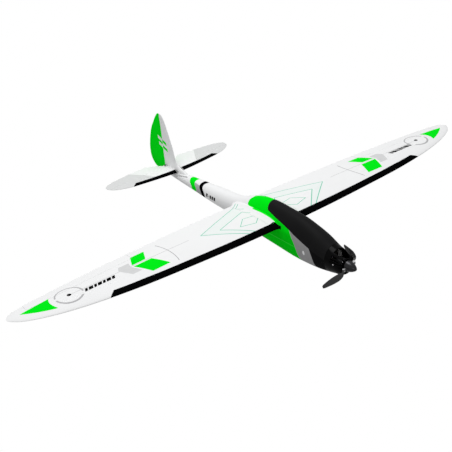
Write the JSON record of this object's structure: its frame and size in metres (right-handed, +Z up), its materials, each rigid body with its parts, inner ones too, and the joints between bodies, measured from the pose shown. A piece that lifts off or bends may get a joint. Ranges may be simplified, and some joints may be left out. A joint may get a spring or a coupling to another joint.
{
  "type": "radio-controlled electric motor glider",
  "caption": "Slender foam motor glider with folding nose propeller, lift-off canopy, cross tail, hinged control surfaces and plug-in wing panels on a carbon tube.",
  "frame": {"origin": "centre of the belly skid's flat underside", "axes": "+Z up with the wing chord plane level, nose towards -Y, starboard wing on -X"},
  "size_m": [1.597, 0.96, 0.251],
  "materials": {
    "foam_white": "fine-grained moulded foam, satin white with printed black, green and grey trim",
    "foam_green": "fine-grained moulded foam, bright green",
    "canopy_black": "matt black painted foam",
    "cowl_black": "glossy black moulding",
    "plastic_black": "black nylon",
    "plastic_white": "white nylon",
    "servo_case": "smoked black plastic",
    "alloy": "machined",
    "spinner_grey": "dark anodised, turned",
    "steel": "bright",
    "carbon": "wound carbon tube",
    "blade_grey": "dark grey glass-filled nylon",
    "birch_ply": "laser-cut ply",
    "battery_wrap": "blue shrink wrap",
    "heat_shrink": "black heat shrink",
    "hook_loop": "woven hook and loop",
    "wire_red": "silicone wire",
    "nickel": "nickel plated magnet"
  },
  "bodies": {
    "airframe": {"fuselage_half_starboard": "foam_white", "fuselage_half_port": "foam_white", "belly_skid": "plastic_black", "tail_skid": "plastic_black", "nose_cowl": "cowl_black", "cowl_screw_starboard": "steel", "cowl_screw_port": "steel", "motor_stator": "alloy", "wing_panel_starboard": "foam_white", "wing_panel_port": "foam_white", "wing_root_rib_starboard": "plastic_white", "wing_root_rib_port": "plastic_white", "wing_joiner_tube": "carbon", "wing_rear_pin": "steel", "aileron_servo_starboard": "servo_case", "aileron_servo_port": "servo_case", "stabiliser": "foam_white", "stabiliser_screw": "steel", "servo_tray": "birch_ply", "elevator_servo": "servo_case", "rudder_servo": "servo_case", "front_former": "birch_ply", "former_magnet": "nickel", "battery_tray": "birch_ply", "flight_battery": "battery_wrap", "battery_strap": "hook_loop", "battery_lead": "wire_red", "battery_plug": "plastic_white", "speed_controller": "heat_shrink", "motor_wire_a": "wire_red", "motor_wire_b": "wire_red", "motor_wire_c": "wire_red", "receiver": "plastic_black", "receiver_aerial": "heat_shrink"},
    "propeller": {"motor_can": "plastic_black", "motor_shaft": "steel", "hub_yoke": "alloy", "spinner_cone": "spinner_grey", "blade_pin_port": "steel", "blade_pin_starboard": "steel"},
    "blade_starboard": {"prop_blade_starboard": "blade_grey"},
    "blade_port": {"prop_blade_port": "blade_grey"},
    "canopy": {"canopy_hatch": "canopy_black", "canopy_magnet": "nickel"},
    "aileron_starboard": {"aileron_starboard": "foam_white", "aileron_horn_starboard": "plastic_black"},
    "aileron_port": {"aileron_port": "foam_white", "aileron_horn_port": "plastic_black"},
    "aileron_arm_starboard": {"aileron_servo_arm_starboard": "plastic_white"},
    "aileron_arm_port": {"aileron_servo_arm_port": "plastic_white"},
    "aileron_rod_starboard": {"aileron_pushrod_starboard": "steel"},
    "aileron_rod_port": {"aileron_pushrod_port": "steel"},
    "elevator": {"elevator": "foam_white", "elevator_horn": "plastic_black"},
    "elevator_arm": {"elevator_servo_arm": "plastic_white"},
    "elevator_rod": {"elevator_pushrod": "steel"},
    "rudder": {"rudder": "foam_green", "rudder_horn": "plastic_black"},
    "rudder_arm": {"rudder_servo_arm": "plastic_white"},
    "rudder_rod": {"rudder_pushrod": "steel"}
  },
  "joints": [
    {"name": "prop_spin", "type": "hinge", "parent": "airframe", "child": "propeller", "pos_m": [0, -0.277, 0.0439], "axis": [0, 1, 0], "continuous": true},
    {"name": "blade_fold_port", "type": "hinge", "parent": "propeller", "child": "blade_port", "pos_m": [0.0183, -0.277, 0.04776], "axis": [-0.2062, 0, 0.9785], "range_deg": [-66.5, 0.5]},
    {"name": "blade_fold_starboard", "type": "hinge", "parent": "propeller", "child": "blade_starboard", "pos_m": [-0.0183, -0.277, 0.04004], "axis": [0.2062, 0, -0.9785], "range_deg": [0, 66.5]},
    {"name": "canopy_lift", "type": "slide", "parent": "airframe", "child": "canopy", "axis": [0, 0, 1], "range_m": [0, 0.06]},
    {"name": "aileron_starboard_hinge", "type": "hinge", "parent": "airframe", "child": "aileron_starboard", "pos_m": [-0.42, 0.1095, 0.08701], "axis": [0.9981, 0.062, 0.0058], "range_deg": [-20, 20]},
    {"name": "aileron_rod_starboard_slide", "type": "slide", "parent": "airframe", "child": "aileron_rod_starboard", "axis": [0, 1, 0], "range_m": [-0.00765, 0.00765]},
    {"name": "aileron_arm_starboard_turn", "type": "hinge", "parent": "airframe", "child": "aileron_arm_starboard", "pos_m": [-0.4995, 0.063, 0.0795], "axis": [1, 0, 0], "range_deg": [-31.1, 31.1]},
    {"name": "aileron_port_hinge", "type": "hinge", "parent": "airframe", "child": "aileron_port", "pos_m": [0.42, 0.1095, 0.08701], "axis": [0.9981, -0.062, -0.0058], "range_deg": [-20, 20]},
    {"name": "aileron_rod_port_slide", "type": "slide", "parent": "airframe", "child": "aileron_rod_port", "axis": [0, 1, 0], "range_m": [-0.00765, 0.00765]},
    {"name": "aileron_arm_port_turn", "type": "hinge", "parent": "airframe", "child": "aileron_arm_port", "pos_m": [0.4995, 0.063, 0.0795], "axis": [1, 0, 0], "range_deg": [-31.1, 31.1]},
    {"name": "elevator_hinge", "type": "hinge", "parent": "airframe", "child": "elevator", "pos_m": [0, 0.548, 0.0698], "axis": [1, 0, 0], "range_deg": [-25, 25]},
    {"name": "elevator_rod_slide", "type": "slide", "parent": "airframe", "child": "elevator_rod", "axis": [0, 1, 0], "range_m": [-0.00562, 0.00562]},
    {"name": "elevator_arm_turn", "type": "hinge", "parent": "airframe", "child": "elevator_arm", "pos_m": [-0.0125, 0.067, 0.0528], "axis": [0, 0, 1], "range_deg": [-30, 30]},
    {"name": "rudder_hinge", "type": "hinge", "parent": "airframe", "child": "rudder", "pos_m": [0, 0.576, 0.0815], "axis": [0, 0, 1], "range_deg": [-28, 28]},
    {"name": "rudder_rod_slide", "type": "slide", "parent": "airframe", "child": "rudder_rod", "axis": [0, 1, 0], "range_m": [-0.00685, 0.00685]},
    {"name": "rudder_arm_turn", "type": "hinge", "parent": "airframe", "child": "rudder_arm", "pos_m": [0.0125, 0.067, 0.0528], "axis": [0, 0, 1], "range_deg": [-36.7, 36.7]}
  ],
  "couplings": [
    {"joint": "aileron_rod_starboard_slide", "follows": "aileron_starboard_hinge", "m_per_rad": 0.02105},
    {"joint": "aileron_arm_starboard_turn", "follows": "aileron_starboard_hinge", "ratio": 1.5034},
    {"joint": "aileron_rod_port_slide", "follows": "aileron_port_hinge", "m_per_rad": 0.02105},
    {"joint": "aileron_arm_port_turn", "follows": "aileron_port_hinge", "ratio": 1.5034},
    {"joint": "elevator_rod_slide", "follows": "elevator_hinge", "m_per_rad": -0.0122},
    {"joint": "elevator_arm_turn", "follows": "elevator_hinge", "ratio": 1.1619},
    {"joint": "rudder_rod_slide", "follows": "rudder_hinge", "m_per_rad": 0.0134},
    {"joint": "rudder_arm_turn", "follows": "rudder_hinge", "ratio": 1.2762}
  ]
}
